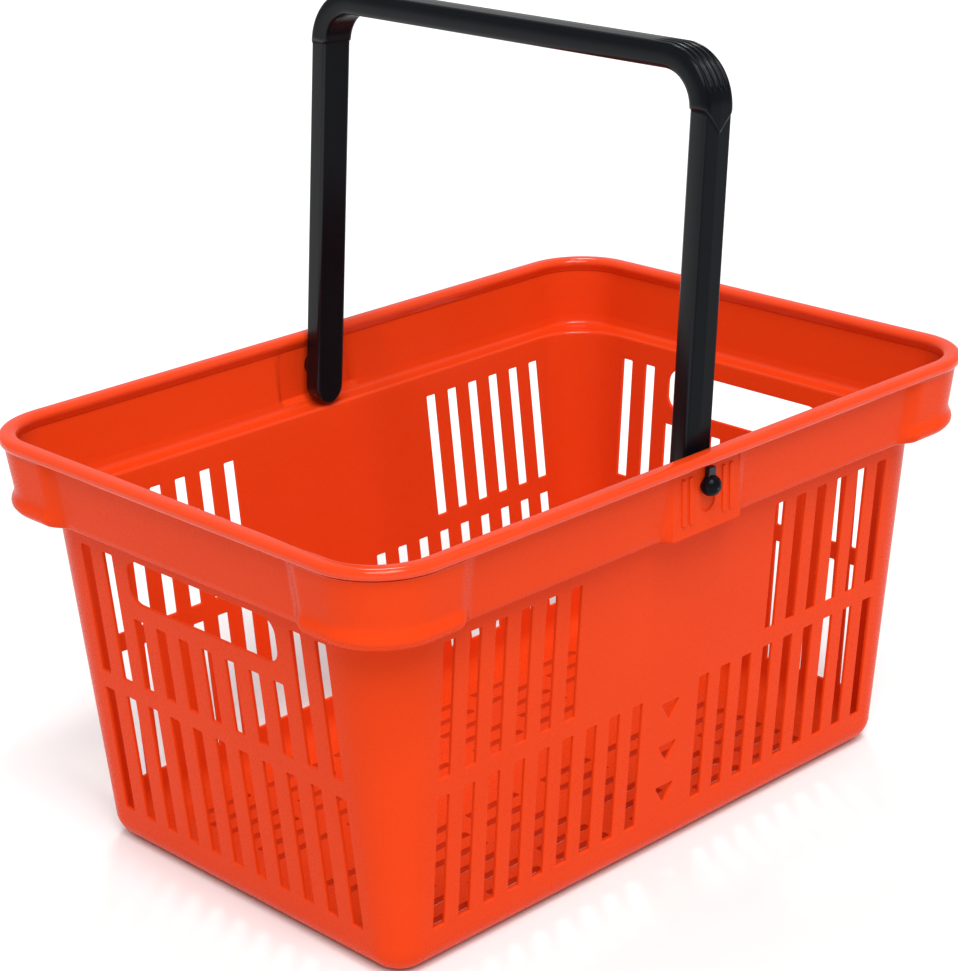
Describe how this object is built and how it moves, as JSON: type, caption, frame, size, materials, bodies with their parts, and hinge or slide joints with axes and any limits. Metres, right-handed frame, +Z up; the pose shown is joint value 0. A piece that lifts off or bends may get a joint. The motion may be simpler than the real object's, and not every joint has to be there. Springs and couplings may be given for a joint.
{
  "type": "shopping basket",
  "caption": "Slotted rectangular hand shopping basket with a stepped collar, corner guards, hand holes and one swinging bail handle.",
  "frame": {"origin": "on the ground under the middle of the base", "axes": "+X along the basket's length, +Y across it, +Z up"},
  "size_m": [0.45, 0.3126, 0.426],
  "materials": {
    "tub_plastic": "satin red-orange injection-moulded polypropylene",
    "handle_plastic": "satin black injection-moulded polypropylene"
  },
  "bodies": {
    "tub": {"floor_grid": "tub_plastic", "foot_front": "tub_plastic", "foot_back": "tub_plastic", "foot_left": "tub_plastic", "foot_right": "tub_plastic", "wall_front": "tub_plastic", "wall_back": "tub_plastic", "wall_left": "tub_plastic", "wall_right": "tub_plastic", "post_front_left": "tub_plastic", "post_front_right": "tub_plastic", "post_back_left": "tub_plastic", "post_back_right": "tub_plastic", "collar_front": "tub_plastic", "collar_back": "tub_plastic", "collar_left": "tub_plastic", "collar_right": "tub_plastic", "collar_corner_front_left": "tub_plastic", "collar_corner_front_right": "tub_plastic", "collar_corner_back_left": "tub_plastic", "collar_corner_back_right": "tub_plastic", "guard_front_left": "tub_plastic", "guard_front_right": "tub_plastic", "guard_back_left": "tub_plastic", "guard_back_right": "tub_plastic"},
    "handle": {"handle_leg_front": "handle_plastic", "handle_leg_back": "handle_plastic", "handle_corner_front": "handle_plastic", "handle_corner_back": "handle_plastic", "handle_grip": "handle_plastic", "pivot_peg_front": "handle_plastic", "pivot_peg_back": "handle_plastic"}
  },
  "joints": [
    {"name": "handle_swing", "type": "hinge", "parent": "tub", "child": "handle", "pos_m": [0, 0, 0.214], "axis": [0, 1, 0], "range_deg": [-95, 85]}
  ]
}
